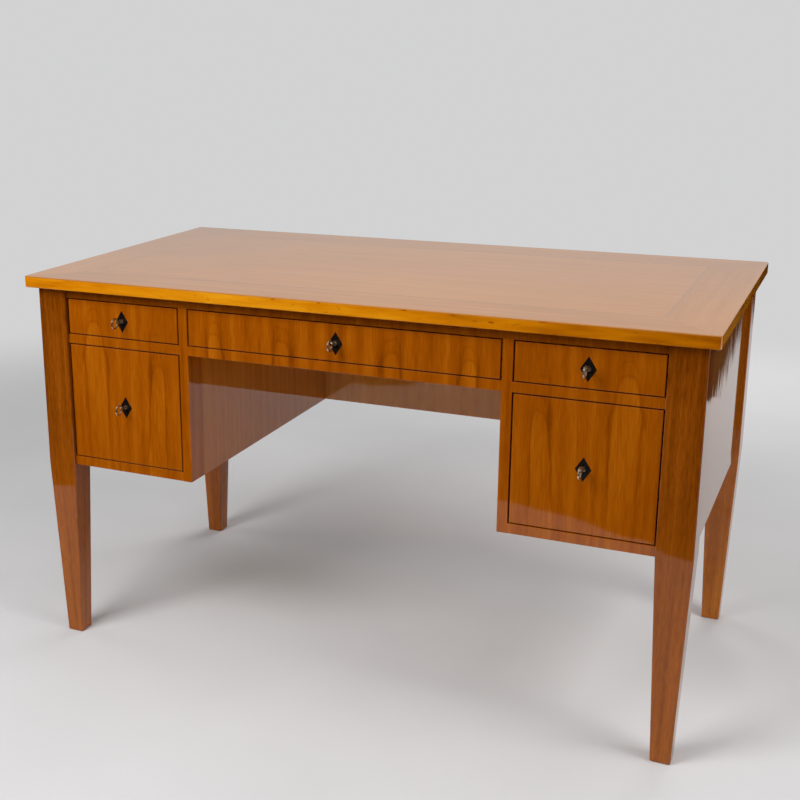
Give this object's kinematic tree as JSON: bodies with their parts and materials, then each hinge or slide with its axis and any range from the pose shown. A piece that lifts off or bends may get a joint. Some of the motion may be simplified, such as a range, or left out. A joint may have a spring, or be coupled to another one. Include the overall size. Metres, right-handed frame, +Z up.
{
  "type": "kneehole desk",
  "caption": "Veneered kneehole desk on tapered legs, with flush drawers in both pedestals and over the kneehole, diamond escutcheons, locks and turning keys.",
  "frame": {"origin": "on the floor, under the middle of the whole object, keys included", "axes": "+X along the front to the sitter's right, +Y from the front to the back, +Z up"},
  "size_m": [1.315, 0.709, 0.77],
  "materials": {
    "cherry_veneer": "French polish",
    "leg_cherry": "French polish",
    "lipping_cherry": "French polish",
    "stringing_maple": "French polish",
    "ebonised_pear": "black stain, polished",
    "drawer_oak": "waxed",
    "carcass_pine": "bare",
    "lock_brass": "old, satin",
    "key_steel": "worn bright"
  },
  "bodies": {
    "carcass": {"top_core": "carcass_pine", "top_lipping": "lipping_cherry", "top_border_veneer": "cherry_veneer", "top_stringing": "stringing_maple", "top_field_veneer": "cherry_veneer", "front_top_rail": "cherry_veneer", "kneehole_rail": "cherry_veneer", "inner_panel_left": "cherry_veneer", "side_panel_left": "cherry_veneer", "mid_rail_left": "cherry_veneer", "bottom_rail_left": "cherry_veneer", "stile_left": "cherry_veneer", "leg_front_left": "leg_cherry", "leg_back_left": "leg_cherry", "inner_panel_right": "cherry_veneer", "side_panel_right": "cherry_veneer", "mid_rail_right": "cherry_veneer", "bottom_rail_right": "cherry_veneer", "stile_right": "cherry_veneer", "leg_front_right": "leg_cherry", "leg_back_right": "leg_cherry", "back_panel": "cherry_veneer", "drawer_runners": "carcass_pine", "top_kickers": "carcass_pine", "drawer_stops": "carcass_pine"},
    "left_top_drawer": {"left_top_front": "cherry_veneer", "left_top_box": "drawer_oak", "left_top_bottom": "drawer_oak", "left_top_escutcheon": "ebonised_pear", "left_top_lock": "lock_brass"},
    "left_top_bolt_body": {"left_top_bolt": "lock_brass"},
    "left_top_key_body": {"left_top_key": "key_steel"},
    "left_deep_drawer": {"left_deep_front": "cherry_veneer", "left_deep_box": "drawer_oak", "left_deep_bottom": "drawer_oak", "left_deep_escutcheon": "ebonised_pear", "left_deep_lock": "lock_brass"},
    "left_deep_bolt_body": {"left_deep_bolt": "lock_brass"},
    "left_deep_key_body": {"left_deep_key": "key_steel"},
    "centre_drawer": {"centre_front": "cherry_veneer", "centre_box": "drawer_oak", "centre_bottom": "drawer_oak", "centre_escutcheon": "ebonised_pear", "centre_lock": "lock_brass"},
    "centre_bolt_body": {"centre_bolt": "lock_brass"},
    "centre_key_body": {"centre_key": "key_steel"},
    "right_top_drawer": {"right_top_front": "cherry_veneer", "right_top_box": "drawer_oak", "right_top_bottom": "drawer_oak", "right_top_escutcheon": "ebonised_pear", "right_top_lock": "lock_brass"},
    "right_top_bolt_body": {"right_top_bolt": "lock_brass"},
    "right_top_key_body": {"right_top_key": "key_steel"},
    "right_deep_drawer": {"right_deep_front": "cherry_veneer", "right_deep_box": "drawer_oak", "right_deep_bottom": "drawer_oak", "right_deep_escutcheon": "ebonised_pear", "right_deep_lock": "lock_brass"},
    "right_deep_bolt_body": {"right_deep_bolt": "lock_brass"},
    "right_deep_key_body": {"right_deep_key": "key_steel"}
  },
  "joints": [
    {"name": "left_top_slide", "type": "slide", "parent": "carcass", "child": "left_top_drawer", "axis": [0, -1, 0], "range_m": [0, 0.42]},
    {"name": "left_top_turn", "type": "hinge", "parent": "left_top_drawer", "child": "left_top_key_body", "pos_m": [-0.451, -0.3185, 0.69085], "axis": [0, 1, 0], "range_deg": [0, 180]},
    {"name": "left_top_throw", "type": "slide", "parent": "left_top_drawer", "child": "left_top_bolt_body", "axis": [0, 0, 1], "range_m": [0, 0.008]},
    {"name": "left_deep_slide", "type": "slide", "parent": "carcass", "child": "left_deep_drawer", "axis": [0, -1, 0], "range_m": [0, 0.42]},
    {"name": "left_deep_turn", "type": "hinge", "parent": "left_deep_drawer", "child": "left_deep_key_body", "pos_m": [-0.451, -0.3185, 0.5176], "axis": [0, 1, 0], "range_deg": [0, 180]},
    {"name": "left_deep_throw", "type": "slide", "parent": "left_deep_drawer", "child": "left_deep_bolt_body", "axis": [0, 0, 1], "range_m": [0, 0.008]},
    {"name": "centre_slide", "type": "slide", "parent": "carcass", "child": "centre_drawer", "axis": [0, -1, 0], "range_m": [0, 0.42]},
    {"name": "centre_turn", "type": "hinge", "parent": "centre_drawer", "child": "centre_key_body", "pos_m": [0, -0.3185, 0.69085], "axis": [0, 1, 0], "range_deg": [0, 180]},
    {"name": "centre_throw", "type": "slide", "parent": "centre_drawer", "child": "centre_bolt_body", "axis": [0, 0, 1], "range_m": [0, 0.008]},
    {"name": "right_top_slide", "type": "slide", "parent": "carcass", "child": "right_top_drawer", "axis": [0, -1, 0], "range_m": [0, 0.42]},
    {"name": "right_top_turn", "type": "hinge", "parent": "right_top_drawer", "child": "right_top_key_body", "pos_m": [0.451, -0.3185, 0.69085], "axis": [0, 1, 0], "range_deg": [0, 180]},
    {"name": "right_top_throw", "type": "slide", "parent": "right_top_drawer", "child": "right_top_bolt_body", "axis": [0, 0, 1], "range_m": [0, 0.008]},
    {"name": "right_deep_slide", "type": "slide", "parent": "carcass", "child": "right_deep_drawer", "axis": [0, -1, 0], "range_m": [0, 0.42]},
    {"name": "right_deep_turn", "type": "hinge", "parent": "right_deep_drawer", "child": "right_deep_key_body", "pos_m": [0.451, -0.3185, 0.5176], "axis": [0, 1, 0], "range_deg": [0, 180]},
    {"name": "right_deep_throw", "type": "slide", "parent": "right_deep_drawer", "child": "right_deep_bolt_body", "axis": [0, 0, 1], "range_m": [0, 0.008]}
  ],
  "couplings": [
    {"joint": "left_top_throw", "follows": "left_top_turn", "m_per_rad": 0.0025464},
    {"joint": "left_deep_throw", "follows": "left_deep_turn", "m_per_rad": 0.0025464},
    {"joint": "centre_throw", "follows": "centre_turn", "m_per_rad": 0.0025464},
    {"joint": "right_top_throw", "follows": "right_top_turn", "m_per_rad": 0.0025464},
    {"joint": "right_deep_throw", "follows": "right_deep_turn", "m_per_rad": 0.0025464}
  ]
}
